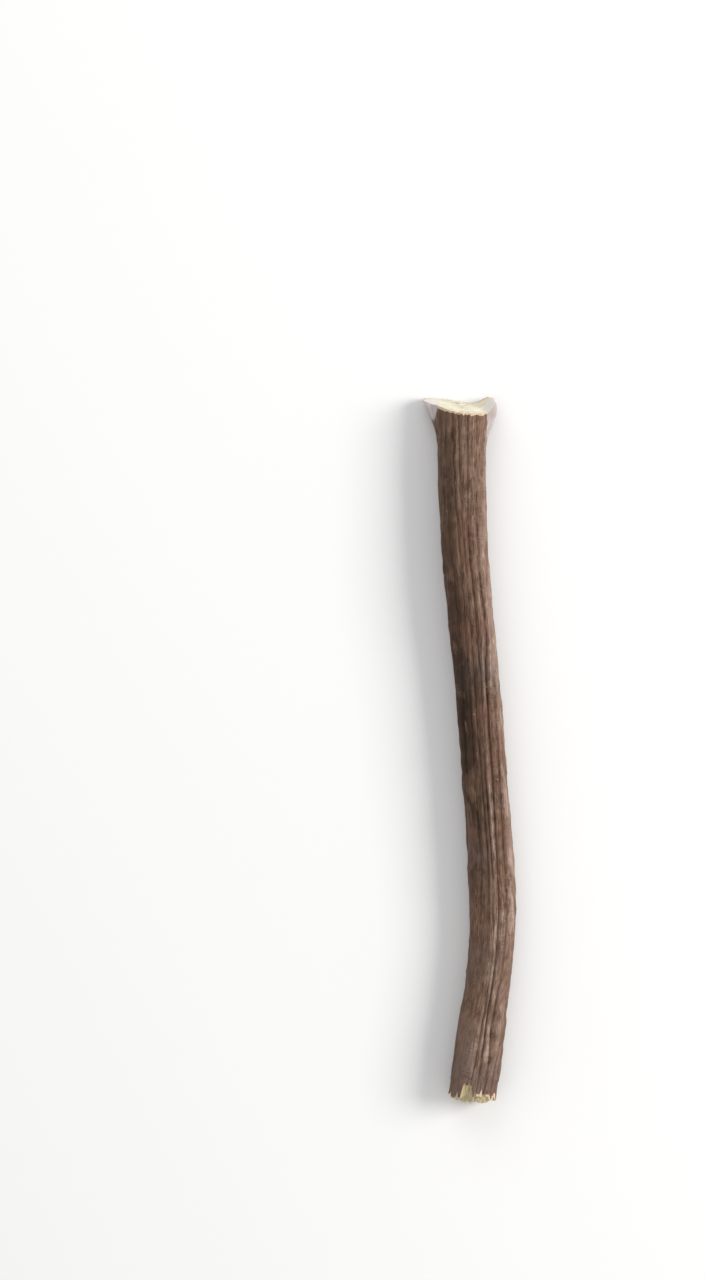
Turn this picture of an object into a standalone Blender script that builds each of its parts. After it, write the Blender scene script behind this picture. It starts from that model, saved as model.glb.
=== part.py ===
# One cut length of dried licorice root, lying on its side with its bark on.
# Metres, +Z up. Its thick crown end is towards +Y and its broken tip end towards -Y.
# The origin is the middle of the root's box, on the surface that it lies on.

import math

import bmesh
import bpy
from mathutils import Vector, noise

MM = 0.001

# The root's real size, and its shape at a few stations along it.
# Each station: distance from the crown end, sideways place of the axis, width, depth and how far
# the underside lifts off the surface, in millimetres, and how far the bark is turned, in degrees.
# It touches the surface at the crown, at the outside of its bend and at the tip.
LENGTH = 141.0 * MM
PLACE, WIDTH, DEPTH, LIFT, TURN = 1, 2, 3, 4, 5
STATIONS = (
    (0.0, -1.65, 9.8, 10.2, 0.0, 18.0),
    (10.0, -1.60, 9.8, 9.9, 0.25, 18.0),
    (20.0, -1.40, 9.5, 9.3, 0.8, 18.0),
    (32.0, -0.95, 9.4, 9.0, 1.1, 18.0),
    (45.0, 0.20, 9.3, 8.9, 1.1, 15.0),
    (60.0, 1.95, 9.1, 8.8, 0.9, 0.5),
    (82.0, 3.80, 9.1, 8.9, 0.4, -6.5),
    (94.0, 4.50, 9.1, 8.9, 0.05, -6.5),
    (102.0, 4.70, 9.0, 8.9, 0.0, -7.5),
    (111.0, 4.25, 9.0, 9.0, 0.3, -8.0),
    (126.0, 2.30, 9.5, 9.1, 0.5, -10.0),
    (141.0, 0.25, 9.6, 8.9, 0.0, -12.0),
)
REST_FLAT = 0.16 * MM  # how much of the underside is pressed flat where it rests

# The crown end flares out to both sides. Each flare: angle from the top towards +X, half angle,
# rise, and the distances from the end between which it dies away.
FLARES = (
    (math.radians(98), math.radians(33), 2.5 * MM, 1.5 * MM, 10.0 * MM),
    (math.radians(-112), math.radians(27), 4.0 * MM, -4.0 * MM, 10.0 * MM),
)

# The bark's long ridges. The columns of the mesh follow them, so a furrow always lies on a column.
RIDGES = 18  # counted round the root
COLUMNS_PER_RIDGE = 5
RIDGE_HEIGHT = 0.55 * MM
RIDGE_SHARPNESS = 0.85  # under 1 the crests are broad and the furrows narrow
RIDGE_LEVEL = 0.68  # share of the profile that lies under the smooth form
RIDGE_WANDER = 0.36  # how far a ridge wanders round the root, in radians
QUICK_WANDER = 0.4  # share of that added over a shorter run
WAVE_HEIGHT = 0.5 * MM  # slow swelling and hollowing under the ridges
PLATE_HEIGHT = 0.3 * MM  # how much one ridge stands over its neighbour

# A furrow's depth: the share that it has anywhere, the share by which it deepens and fades
# along its way, and the shares added on the rough sides, each at an angle with a half angle.
FURROW_LEAST = 0.14
FURROW_CHANGE = 0.7
FURROW_LIMITS = (0.03, 1.1)
ROUGH_SIDES = (
    (math.radians(24), math.radians(28), 0.85),
    (math.radians(-165), math.radians(60), 0.5),
)

# Noise patterns on the bark: cells round the root, the length of a cell, and a seed.
WANDER_PATTERN = (4, 50.0 * MM, 3.0)
QUICK_WANDER_PATTERN = (9, 25.0 * MM, 8.0)
FURROW_PATTERN = (12, 24.0 * MM, 15.0)
WAVE_PATTERN = (3, 24.0 * MM, 21.0)
PLATE_PATTERN = (13, 28.0 * MM, 33.0)

# The sawn crown face: how deep it is cut back at its middle, and how much deeper
# for each step towards +X and towards the top.
CROWN_CUT = 1.7 * MM
CROWN_LEAN = (0.135, 0.275)

# The flare at +X was left standing beside the cut as a rounded ear.
EAR_RISE = 2.15 * MM
EAR_START = 3.8 * MM  # distance from the axis at which the ear begins to rise
EAR_FULL = 7.4 * MM  # and at which it has its full height
EAR_SKEW = 0.4  # how much further out it begins for each step towards the top
EAR_ROUNDING = 1.6 * MM  # how far its outer corner falls away, and between which distances
EAR_SHOULDER = 7.0 * MM
EAR_EDGE = 7.8 * MM

# The tip, broken across: each ridge ends as a strand, and one chip of bark is gone.
TIP_CUT = 0.8 * MM
TIP_LEAN = (-0.09, 0.05)
STRAND_RAGGED = 1.2 * MM  # how much one strand may end before another
STRAND_POINT = 0.5 * MM  # how much further a strand reaches at its crest than at its sides
STRAND_SEED = Vector((0.73, 0.5, 9.0))
CORE_RAGGED = 0.5 * MM
CORE_GRAIN = 1.6 * MM
CHIP_DEPTH = 2.7 * MM
CHIP_ANGLE = math.radians(-17)
CHIP_HALF_ANGLE = math.radians(14)
CHIP_FLOOR = 0.62  # share of the radius where the chip's slope meets the broken face
END_REACH = 11.0 * MM  # length of bark over which an end's shape fades out

# Round scars of side roots: distance from the crown, angle from the top towards +X,
# half length, half width and height, which is negative for a pit.
SCARS = (
    (7.4 * MM, math.radians(-26), 1.5 * MM, 0.45 * MM, -0.6 * MM),
    (47.6 * MM, math.radians(26), 2.8 * MM, 0.9 * MM, 0.4 * MM),
    (125.0 * MM, math.radians(42), 2.4 * MM, 1.1 * MM, 0.4 * MM),
    (78.0 * MM, math.radians(-128), 3.0 * MM, 1.9 * MM, 1.1 * MM),
)
SCAR_PUSH = 0.15  # how far a scar pushes the ridges aside, in radians
SCAR_PUSH_STEEPNESS = 8.0  # how sharply the ridges part at its middle
SCAR_SPREAD = 2.2  # how much further than the scar itself that reaches

RINGS = 58
RING_CROWDING = 0.5  # how much closer the rings lie at the ends
FACE_RINGS = (0.85, 0.66, 0.35)  # rings on an end face, as shares of its radius

BARK_COLOUR = (0.16, 0.095, 0.065, 1.0)
BARK_ROUGHNESS = 0.85


def between_stations(along, entry):
    """One entry of the stations at a distance along the root, on a smooth curve, in metres."""
    at = along / MM
    last = len(STATIONS) - 1
    k = max((i for i in range(last) if STATIONS[i][0] <= at), default=0)

    def slope(i):
        before, after = STATIONS[max(i - 1, 0)], STATIONS[min(i + 1, last)]
        return (after[entry] - before[entry]) / (after[0] - before[0])

    start, end = STATIONS[k], STATIONS[k + 1]
    gap = end[0] - start[0]
    t = min(max((at - start[0]) / gap, 0.0), 1.0)
    rise = start[entry] * (1 + 2 * t) * (1 - t) ** 2 + end[entry] * t * t * (3 - 2 * t)
    lean = gap * (slope(k) * t * (1 - t) ** 2 - slope(k + 1) * t * t * (1 - t))
    return (rise + lean) * MM


def smooth_step(value, low, high):
    """0 below low and 1 above high, with a smooth rise between them."""
    t = min(max((value - low) / (high - low), 0.0), 1.0)
    return t * t * (3 - 2 * t)


def bell(value, width):
    """1 at 0, falling smoothly to almost nothing at twice the width."""
    return math.exp(-((value / width) ** 2))


def bark_noise(angle, along, pattern):
    """Smooth noise on the bark, from about -0.5 to 0.5."""
    cells, run, seed = pattern
    radius = cells / (2 * math.pi)
    place = Vector((radius * math.cos(angle), radius * math.sin(angle), along / run))
    return noise.noise(place + Vector((seed, -seed, seed)))


def angle_apart(a, b):
    """Signed angle from b to a, from -pi to pi."""
    return (a - b + math.pi) % (2 * math.pi) - math.pi


def scar_share(angle, along, scar, spread=1.0):
    """1 at the middle of a scar, falling smoothly to 0 outside it, and the angle across it."""
    place, middle, half_length, half_width, _ = scar
    across = angle_apart(angle, middle)
    sideways = across * between_stations(along, WIDTH) / 2
    return bell(along - place, half_length * spread) * bell(sideways, half_width * spread), across


def bark_angle(column, along):
    """Angle from the top towards +X at which a column of the mesh lies, at a distance along the root."""
    slow = bark_noise(column, along, WANDER_PATTERN)
    quick = bark_noise(column, along, QUICK_WANDER_PATTERN)
    turn = math.radians(between_stations(along, TURN) / MM)
    angle = column + turn + RIDGE_WANDER * (slow + QUICK_WANDER * quick)
    for scar in SCARS:
        share, across = scar_share(angle, along, scar, SCAR_SPREAD)
        angle += SCAR_PUSH * share * math.tanh(SCAR_PUSH_STEEPNESS * across)
    return angle


def ridge_profile(column):
    """0 in a furrow and 1 on the crest of a ridge."""
    return abs(math.sin(RIDGES * column / 2)) ** RIDGE_SHARPNESS


def roughness(angle):
    """How much deeper the furrows are at an angle, on the rough sides of the root."""
    return sum(share * bell(angle_apart(angle, middle), width) for middle, width, share in ROUGH_SIDES)


def ridge_height(column, angle, along):
    """Height of the bark over the smooth form."""
    change = bark_noise(column, along, FURROW_PATTERN)
    depth = FURROW_LEAST + roughness(angle) + FURROW_CHANGE * change
    depth = min(max(depth, FURROW_LIMITS[0]), FURROW_LIMITS[1])
    ridges = depth * (ridge_profile(column) - RIDGE_LEVEL)
    waves = bark_noise(angle, along, WAVE_PATTERN)
    plates = bark_noise(column, along, PLATE_PATTERN)
    return RIDGE_HEIGHT * ridges + WAVE_HEIGHT * waves + PLATE_HEIGHT * plates


def smooth_radius(angle, along):
    """Radius of the form under the ridges: an ellipse, flared out at the crown."""
    half_width = between_stations(along, WIDTH) / 2
    half_depth = between_stations(along, DEPTH) / 2
    radius = 1 / math.hypot(math.sin(angle) / half_width, math.cos(angle) / half_depth)
    for middle, half_angle, rise, start, reach in FLARES:
        flare = 1 - smooth_step(along, start, reach)
        radius += rise * bell(angle_apart(angle, middle), half_angle) * flare
    return radius


def bark_radius(column, angle, along):
    """Distance from the axis to the bark."""
    radius = smooth_radius(angle, along) + ridge_height(column, angle, along)
    for scar in SCARS:
        radius += scar[4] * scar_share(angle, along, scar)[0]
    return radius


def crown_cut(side, top):
    """Depth of the crown's face below the furthest end, at a place across the root from its axis."""
    ear = EAR_RISE * smooth_step(side - EAR_SKEW * top, EAR_START, EAR_FULL)
    rounding = EAR_ROUNDING * smooth_step(side, EAR_SHOULDER, EAR_EDGE)
    return CROWN_CUT + CROWN_LEAN[0] * side + CROWN_LEAN[1] * top - ear + rounding


def tip_break(column, angle, out, side, top):
    """Depth of the tip's broken face below the furthest end. out is 0 at its middle and 1 at the bark."""
    strand = math.floor(RIDGES * column / (2 * math.pi))
    shortness = abs(noise.noise(Vector((strand, 1.0, 1.0)) * STRAND_SEED))
    ragged = STRAND_RAGGED * shortness + STRAND_POINT * (1 - ridge_profile(column))
    core = CORE_RAGGED * noise.noise(Vector((side, top, 0.0)) / CORE_GRAIN)
    chip = CHIP_DEPTH * math.exp(-((angle_apart(angle, CHIP_ANGLE) / CHIP_HALF_ANGLE) ** 8))
    edge = smooth_step(out, CHIP_FLOOR, 1.0)
    return TIP_CUT + TIP_LEAN[0] * side + TIP_LEAN[1] * top + core + (ragged + chip) * edge


def fade(distance):
    """1 at an end, falling to 0 at END_REACH from it."""
    return max(0.0, 1 - distance / END_REACH) ** 2


def place_on_root(point):
    """Where a point of the unit rod goes: x and y on its disc, z from 0 at the crown to 1 at the tip."""
    column, out = math.atan2(point.x, point.y), math.hypot(point.x, point.y)
    straight = LENGTH * (point.z - RING_CROWDING * math.sin(2 * math.pi * point.z) / (2 * math.pi))
    angle = bark_angle(column, straight)
    reach = out * smooth_radius(angle, straight)
    side, top = reach * math.sin(angle), reach * math.cos(angle)
    along = straight + crown_cut(side, top) * fade(straight)
    along -= tip_break(column, angle, out, side, top) * fade(LENGTH - straight)
    radius = out * bark_radius(column, angle, along)
    axis_height = between_stations(along, DEPTH) / 2 + between_stations(along, LIFT) - REST_FLAT
    return Vector(
        (
            between_stations(along, PLACE) + radius * math.sin(angle),
            LENGTH / 2 - along,
            max(axis_height + radius * math.cos(angle), 0.0),
        )
    )


def unit_rod():
    """A closed rod of radius 1 from z = 0 to z = 1, cut into rings, with rings on its end faces too."""
    sides = RIDGES * COLUMNS_PER_RIDGE
    bm = bmesh.new()
    bmesh.ops.create_cone(bm, cap_ends=True, segments=sides, radius1=1.0, radius2=1.0, depth=1.0)
    bmesh.ops.translate(bm, verts=bm.verts, vec=(0.0, 0.0, 0.5))
    long_edges = [e for e in bm.edges if abs(e.verts[0].co.z - e.verts[1].co.z) > 0.5]
    bmesh.ops.subdivide_edges(bm, edges=long_edges, cuts=RINGS)
    for share, before in zip(FACE_RINGS, (1.0,) + FACE_RINGS):
        for face in [f for f in bm.faces if len(f.verts) == sides]:
            bmesh.ops.inset_region(bm, faces=[face], thickness=before - share, use_even_offset=False)
    bmesh.ops.poke(bm, faces=[f for f in bm.faces if len(f.verts) == sides])
    return bm


def centre_over_origin(bm):
    """Moves the root so that the middle of its box stands over the origin."""
    for axis in (0, 1):
        places = [v.co[axis] for v in bm.verts]
        shift = -(min(places) + max(places)) / 2
        for v in bm.verts:
            v.co[axis] += shift


def bark_material():
    material = bpy.data.materials.new("bark")
    material.use_nodes = True
    shader = material.node_tree.nodes["Principled BSDF"]
    shader.inputs["Base Color"].default_value = BARK_COLOUR
    shader.inputs["Roughness"].default_value = BARK_ROUGHNESS
    shader.inputs["Metallic"].default_value = 0.0
    return material


def make_root():
    bm = unit_rod()
    for v in bm.verts:
        v.co = place_on_root(v.co)
    centre_over_origin(bm)
    mesh = bpy.data.meshes.new("licorice_root")
    bm.to_mesh(mesh)
    bm.free()
    mesh.shade_smooth()
    mesh.set_sharp_from_angle(angle=math.radians(50))
    mesh.materials.append(bark_material())
    return bpy.data.objects.new("licorice_root", mesh)


def main():
    for old in list(bpy.data.objects):
        bpy.data.objects.remove(old, do_unlink=True)
    collection = bpy.data.collections.new("licorice_root")
    bpy.context.scene.collection.children.link(collection)
    collection.objects.link(make_root())


main()
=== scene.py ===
# One cut length of dried licorice root with its bark on, lying on a pale surface, seen from straight above.
# Metres, +Z up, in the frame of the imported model: the flared crown end is towards +Y and the broken tip
# towards -Y.
import math
import random

import bmesh
import bpy
import numpy as np
from mathutils import Matrix, Vector, noise


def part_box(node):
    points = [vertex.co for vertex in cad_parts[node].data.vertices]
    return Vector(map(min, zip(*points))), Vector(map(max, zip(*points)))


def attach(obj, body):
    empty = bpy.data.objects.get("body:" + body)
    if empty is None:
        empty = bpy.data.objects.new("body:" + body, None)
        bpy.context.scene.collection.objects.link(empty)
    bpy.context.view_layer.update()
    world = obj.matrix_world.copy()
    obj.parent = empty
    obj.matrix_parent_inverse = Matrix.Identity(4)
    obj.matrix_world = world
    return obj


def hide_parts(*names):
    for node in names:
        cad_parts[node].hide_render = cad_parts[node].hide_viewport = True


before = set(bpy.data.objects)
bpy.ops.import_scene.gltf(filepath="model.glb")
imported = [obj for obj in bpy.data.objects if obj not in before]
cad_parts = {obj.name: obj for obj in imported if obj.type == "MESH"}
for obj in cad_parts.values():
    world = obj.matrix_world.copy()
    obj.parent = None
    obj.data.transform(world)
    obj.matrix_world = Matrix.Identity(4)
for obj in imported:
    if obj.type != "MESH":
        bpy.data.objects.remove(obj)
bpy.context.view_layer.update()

MM = 0.001

# The root's real size, and its shape at a few stations along it, as in the solid.
# Each station: distance from the crown end, sideways place of the axis, width, depth and how far
# the underside lifts off the surface, in millimetres, and how far the bark is turned, in degrees.
LENGTH = 141.0 * MM
PLACE, WIDTH, DEPTH, LIFT, TURN = 1, 2, 3, 4, 5
STATIONS = np.array(
    (
        (0.0, -1.65, 9.8, 10.2, 0.0, 18.0),
        (10.0, -1.60, 9.8, 9.9, 0.25, 18.0),
        (20.0, -1.40, 9.5, 9.3, 0.8, 18.0),
        (32.0, -0.95, 9.4, 9.0, 1.1, 18.0),
        (45.0, 0.20, 9.3, 8.9, 1.1, 15.0),
        (60.0, 1.95, 9.1, 8.8, 0.9, 0.5),
        (82.0, 3.80, 9.1, 8.9, 0.4, -6.5),
        (94.0, 4.50, 9.1, 8.9, 0.05, -6.5),
        (102.0, 4.70, 9.0, 8.9, 0.0, -7.5),
        (111.0, 4.25, 9.0, 9.0, 0.3, -8.0),
        (126.0, 2.30, 9.5, 9.1, 0.5, -10.0),
        (141.0, 0.25, 9.6, 8.9, 0.0, -12.0),
    )
)
REST_FLAT = 0.16 * MM
GRAIN_RADIUS = 4.6 * MM  # the root's radius where it is laid out straight for the grain

# The crown end's two flares: angle from the top towards +X, half angle, rise,
# and the distances from the end between which the flare dies away.
FLARES = (
    (math.radians(98), math.radians(33), 2.5 * MM, 1.5 * MM, 10.0 * MM),
    (math.radians(-112), math.radians(27), 4.0 * MM, -4.0 * MM, 10.0 * MM),
)

# The bark's main ridges, which the columns of the mesh follow.
RIDGES = 18
RIDGE_HEIGHT = 0.55 * MM
RIDGE_SHARPNESS = 0.85
RIDGE_LEVEL = 0.68
RIDGE_WANDER = 0.36
QUICK_WANDER = 0.4
WAVE_HEIGHT = 0.5 * MM
PLATE_HEIGHT = 0.3 * MM
FURROW_LEAST = 0.14
FURROW_CHANGE = 0.7
FURROW_LIMITS = (0.03, 1.1)
ROUGH_SIDES = (
    (math.radians(24), math.radians(28), 0.85),
    (math.radians(-165), math.radians(60), 0.5),
)

# Noise patterns on the bark: cells round the root, the length of a cell, and a seed.
WANDER_PATTERN = (4, 50.0 * MM, 3.0)
QUICK_WANDER_PATTERN = (9, 25.0 * MM, 8.0)
FURROW_PATTERN = (12, 24.0 * MM, 15.0)
WAVE_PATTERN = (3, 24.0 * MM, 21.0)
PLATE_PATTERN = (13, 28.0 * MM, 33.0)

# The finer relief that only this surface has: ribs on the ridges, fibres on the ribs,
# small lumps, and patches where the outer bark has flaked off.
RIBS = 54
RIB_HEIGHT = 0.09 * MM
RIB_SHARPNESS = 0.7
RIB_WARP = 0.045  # how far a rib strays from its even place, in radians
RIB_LEAST = 0.25
RIB_CHANGE = 1.3
RIB_LIMITS = (0.04, 1.0)
RIB_WARP_PATTERN = (18, 9.0 * MM, 51.0)
RIB_PATTERN = (26, 11.0 * MM, 57.0)
FIBRE_HEIGHT = 0.07 * MM
FIBRE_PATTERN = (95, 3.5 * MM, 63.0)
LUMP_HEIGHT = 0.14 * MM
LUMP_PATTERN = (16, 2.0 * MM, 69.0)
FLAKE_DEPTH = 0.11 * MM
FLAKE_PATTERN = (8, 9.0 * MM, 75.0)
FLAKE_EDGE_PATTERN = (34, 3.0 * MM, 81.0)
FLAKE_EDGE = 0.4
FLAKE_STEP = (0.16, 0.2)

# The sawn crown face and the ear left standing beside it, at distances from the axis towards +X.
CROWN_CUT = 1.7 * MM
CROWN_LEAN = (0.135, 0.275)  # how much deeper it lies towards +X and towards the top
EAR_RISE = 2.15 * MM
EAR_START = 3.8 * MM
EAR_FULL = 7.4 * MM
EAR_SKEW = 0.4
EAR_ROUNDING = 1.6 * MM
EAR_SHOULDER = 7.0 * MM
EAR_EDGE = 7.8 * MM
SAW_ROUGHNESS = 0.12 * MM
SAW_GRAIN = (2.2 * MM, 0.45 * MM)  # sideways and upwards
SAW_SEED = 0.5
RIM_RAGGED = 0.22 * MM
RIM_START = 0.93
RIM_PATTERN = (48, 1.0, 87.0)

# The broken tip, where each ridge ends as a strand and one chip of bark is gone.
TIP_CUT = 0.8 * MM
TIP_LEAN = (-0.09, 0.05)  # as the crown's
STRAND_RAGGED = 1.2 * MM
STRAND_POINT = 0.5 * MM
STRAND_SEED = (0.73, 0.5, 9.0)  # a strand's step in the noise, and its row and layer there
FINE_STRAND_RAGGED = 0.9 * MM
FINE_STRAND_SEED = (0.37, 0.8, 4.0)
CORE_RAGGED = 0.5 * MM
CORE_GRAIN = 1.6 * MM
CORE_SEED = 0.0
FIBRE_ENDS_RAGGED = 0.7 * MM
FIBRE_ENDS_GRAIN = 0.35 * MM
FIBRE_ENDS_SEED = 3.3
CHIP_DEPTH = 2.7 * MM
CHIP_ANGLE = math.radians(-17)
CHIP_HALF_ANGLE = math.radians(14)
CHIP_STEEPNESS = 8
CHIP_FLOOR = 0.62
END_REACH = 11.0 * MM

# Scars of side roots: distance from the crown, angle from the top towards +X,
# half length, half width and height, which is negative for a pit.
SCARS = (
    (7.4 * MM, math.radians(-26), 1.5 * MM, 0.45 * MM, -0.6 * MM),
    (47.6 * MM, math.radians(26), 2.8 * MM, 0.9 * MM, 0.4 * MM),
    (125.0 * MM, math.radians(42), 2.4 * MM, 1.1 * MM, 0.4 * MM),
    (78.0 * MM, math.radians(-128), 3.0 * MM, 1.9 * MM, 1.1 * MM),
)
SCAR_HEIGHT = 4  # which entry of a scar is its height
SCAR_PUSH = 0.15
SCAR_PUSH_STEEPNESS = 8.0
SCAR_SPREAD = 2.2
SCAR_RING = 1.6  # four times how dark the ring round a raised scar is

CREST_SPAN = (-0.36 * MM, 0.14 * MM)  # heights of the relief that count as a furrow and as a crest

# How finely the bark is cut into faces.
COLUMNS_PER_RIDGE = 18
RINGS = 250
RING_CROWDING = 0.3
CROWDING_STEPS = 400  # for reading the crowding backwards
FACE_RINGS = (0.985, 0.965, 0.935, 0.89, 0.84, 0.78, 0.71, 0.64, 0.55, 0.45, 0.34, 0.22, 0.1)

# Loose slivers of wood that stand out of the broken tip.
SPLINTERS = 46
SPLINTER_SEED = 5
SPLINTER_LENGTH = (0.15 * MM, 0.85 * MM)
SPLINTER_WIDTH = (0.14 * MM, 0.5 * MM)
SPLINTER_SUNK = 1.1 * MM
SPLINTER_OUT = (0.3, 0.8)  # how far out from the break's middle they stand, the bark being 1
SPLINTER_LEAN = 0.09  # how widely they lean, as a share of their length
SPLINTER_BEND = 0.15  # the most that they bend, as a share of their length
SPLINTER_POINT = 0.96  # how near to a point they come
SPLINTER_TAPER = 0.7  # below 1 they narrow late
SPLINTER_CUTS = 4

# Thin scales of bark that lift off along the furrows.
SCALES = 70
SCALE_SEED = 11
SCALE_LENGTH = (2.0 * MM, 6.5 * MM)
SCALE_WIDTH = (0.25 * MM, 0.65 * MM)
SCALE_LIFT = (0.03 * MM, 0.15 * MM)
SCALE_THICKNESS = 0.07 * MM
SCALE_SUNK = 0.06 * MM
SCALE_STARTS = (6.0 * MM, LENGTH - 14.0 * MM)  # distances from the crown between which one may begin
SCALE_WAVE = (0.04, 0.93)  # its width follows a half wave: from where, and for how much of it
SCALE_CUTS = 7

# Lenticels: short pale welts that lie across the bark.
LENTICELS = 26
LENTICEL_SEED = 23
LENTICEL_WIDTH = (0.5 * MM, 1.3 * MM)
LENTICEL_LENGTH = (0.2 * MM, 0.32 * MM)
LENTICEL_HEIGHT = 0.1 * MM
LENTICEL_STARTS = (12.0 * MM, LENGTH - 8.0 * MM)
LENTICEL_SEGMENTS = (10, 6)  # round it and from end to end

SCALE_CREST = 0.85  # scales and lenticels are as pale as the tops of the ridges
ROW_STEP = 10.0  # scales, lenticels and splinters are first made in rows, in units of their own

# Both corners of the crown carry a painted glare on their upper side, a pale reflection painted into the
# colour: how far from the axis that begins and is full, the distances from the end over which it dies away,
# and how pale it is.
GLARE_CORNERS = (
    (4.6 * MM, 5.3 * MM, 7.0 * MM, 11.5 * MM, 0.95),
    (-4.2 * MM, -6.0 * MM, -1.0 * MM, 6.5 * MM, 2.2),
)
GLARE_FROM = (-3.0 * MM, -1.2 * MM)  # heights over the axis between which the upper side begins

# One flank is painted paler than the rest: a painted highlight of the light from the right, over some real
# paleness of the bark.
# Its angle from the top towards +X, its half angle, the distances from the crown between which that fades,
# and how far it fades.
PAINTED_LIT_ANGLE = math.radians(70)
PAINTED_LIT_HALF_ANGLE = math.radians(25)
PAINTED_LIT_FADE = (110.0 * MM, 128.0 * MM, 0.8)

# The crests of two ridges are worn palest: each one's column, half angle and share,
# and where along the root that begins, is full, begins to fade and has faded.
WORN_RIDGES = ((math.radians(10), math.radians(2.1), 1.0), (math.radians(30), math.radians(2.1), 0.4))
WORN_RIDGE_SPAN = (28.0 * MM, 42.0 * MM, 104.0 * MM, 126.0 * MM)

# The bark is stained dark in places, and bleached in others, which counts as less than none. The first
# entry, on the left flank, is painted shade of the side away from the light, over some real darkening:
# distance from the crown and half length in millimetres, angle and half angle in degrees, and share.
STAINS_AND_SHADE = (
    (62.0, 34.0, -48, 38, 1.3),
    (17.0, 12.0, -32, 30, 0.35),
    (17.0, 14.0, 14, 9, -0.25),
    (16.0, 13.0, -13, 6, -0.4),
    (20.0, 16.0, 60, 22, 0.15),
    (52.0, 9.0, 26, 14, -0.35),
    (54.0, 10.0, 0, 11, 0.45),
    (80.0, 26.0, 28, 12, 0.55),
    (101.0, 18.0, 10, 11, -0.6),
    (84.0, 28.0, 52, 14, -0.6),
    (126.0, 14.0, 12, 14, -0.25),
    (136.0, 24.0, -5, 60, -0.55),
)

# Where the bark was torn, its edge is tan at the crown and frayed pale at the tip:
# the distances from the end over which that dies away, and how ragged it is.
TORN_EDGE = (0.45 * MM, 0.9 * MM)
TORN_RAGGED = 0.5 * MM
FRAYED_EDGE = (0.2 * MM, 1.0 * MM)
FRAYED_RAGGED = 2.0 * MM
CHIP_SPREAD = 1.5  # how much wider than the chip the edge beside it is left unfrayed
UNFRAYED = (math.radians(-66), math.radians(26), 0.8)  # angle, half angle and share of less fraying
TORN_PATTERN = (70, 1.0, 93.0)

# Dark checks in the crown's face: sideways and upward place from the axis, half length and half width.
CHECKS = (
    (-0.9 * MM, -3.0 * MM, 0.9 * MM, 0.3 * MM),
    (0.5 * MM, 3.6 * MM, 1.5 * MM, 0.22 * MM),
    (-2.2 * MM, 2.9 * MM, 0.7 * MM, 0.2 * MM),
    (2.3 * MM, -0.6 * MM, 0.5 * MM, 0.18 * MM),
)

# Colours, in linear light.
BARK_TONES = (
    (0.0, (0.030, 0.0165, 0.0095, 1.0)),
    (0.3, (0.073, 0.041, 0.026, 1.0)),
    (0.5, (0.130, 0.077, 0.051, 1.0)),
    (0.72, (0.220, 0.140, 0.104, 1.0)),
    (1.0, (0.390, 0.280, 0.226, 1.0)),
)
INNER_BARK_DARK = (0.090, 0.047, 0.029, 1.0)
INNER_BARK_PALE = (0.235, 0.140, 0.094, 1.0)
RED_BARK = (0.190, 0.092, 0.066, 1.0)
GREY_BLOOM = (0.120, 0.100, 0.098, 1.0)
BARK_CRACK = (0.020, 0.011, 0.007, 1.0)
TORN_DARK = (0.520, 0.375, 0.250, 1.0)
TORN_PALE = (0.740, 0.585, 0.420, 1.0)
# Colours of the painted glare on the crown's corners: over the bark, and the palest, which also lies over
# the wood.
GLARE_OVER_BARK_DARK = (0.370, 0.310, 0.292, 1.0)
GLARE_OVER_BARK_PALE = (0.610, 0.545, 0.530, 1.0)
GLARE_PALEST = (0.750, 0.695, 0.665, 1.0)
WOOD_RINGS = (
    (0.0, (0.800, 0.730, 0.540, 1.0)),
    (0.6, (0.850, 0.800, 0.640, 1.0)),
    (0.72, (0.720, 0.640, 0.480, 1.0)),
    (0.8, (0.830, 0.780, 0.620, 1.0)),
    (0.92, (0.740, 0.650, 0.490, 1.0)),
    (0.97, (0.600, 0.470, 0.330, 1.0)),
    (1.0, (0.400, 0.290, 0.200, 1.0)),
)
WOOD_RAY = (0.900, 0.870, 0.740, 1.0)
WOOD_BLOTCH = (0.740, 0.660, 0.470, 1.0)
BROKEN_DARK = (0.400, 0.295, 0.135, 1.0)
BROKEN_PALE = (0.700, 0.560, 0.300, 1.0)
CRACK = (0.160, 0.110, 0.070, 1.0)
SPLINTER_DARK = (0.480, 0.370, 0.200, 1.0)
SPLINTER_PALE = (0.820, 0.720, 0.480, 1.0)
WELT_DARK = (0.160, 0.105, 0.075, 1.0)
WELT_PALE = (0.270, 0.190, 0.145, 1.0)
FLOOR_PALE = (0.860, 0.860, 0.860, 1.0)
FLOOR_PALER = (0.880, 0.880, 0.880, 1.0)

# Grains of the bark and the wood: how many streaks lie in a metre across the root and along it.
FINE_GRAIN = (5200.0, 500.0)
BROAD_GRAIN = (750.0, 60.0)
MOTTLED_GRAIN = (900.0, 420.0)
SPLIT_GRAIN = (1300.0, 110.0)
TICK_GRAIN = (420.0, 2100.0)
WOOD_GRAIN = (4200.0, 200.0)
SPLINTER_GRAIN = (3000.0, 300.0)
GRAIN_CONTRAST = (0.3, 0.7)  # values of the noise that give none and all of a streak
LINE_HALF_WIDTH = 0.07  # of thin lines, in the grain's own values
SPLIT_FADE = (0.9, 0.1)  # the mottled grain's values at which splits are gone and are full
TICK_FADE = (0.1, 0.9)  # the broad grain's values at which ticks are gone and are full

# Patches: their width and the share of the surface that they cover.
RED_PATCHES = (8.0 * MM, 0.3)
GREY_PATCHES = (16.0 * MM, 0.35)
BRITTLE_PATCHES = (5.0 * MM, 0.5)
WOOD_BLOTCHES = (2.6 * MM, 0.5)
CORKY_SPOTS = (0.5 * MM, 0.5)
PATCH_LEVEL = (0.66, -0.4)  # the noise's value at which a patch begins, and its change with the cover
PATCH_EDGE = 0.1

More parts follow.
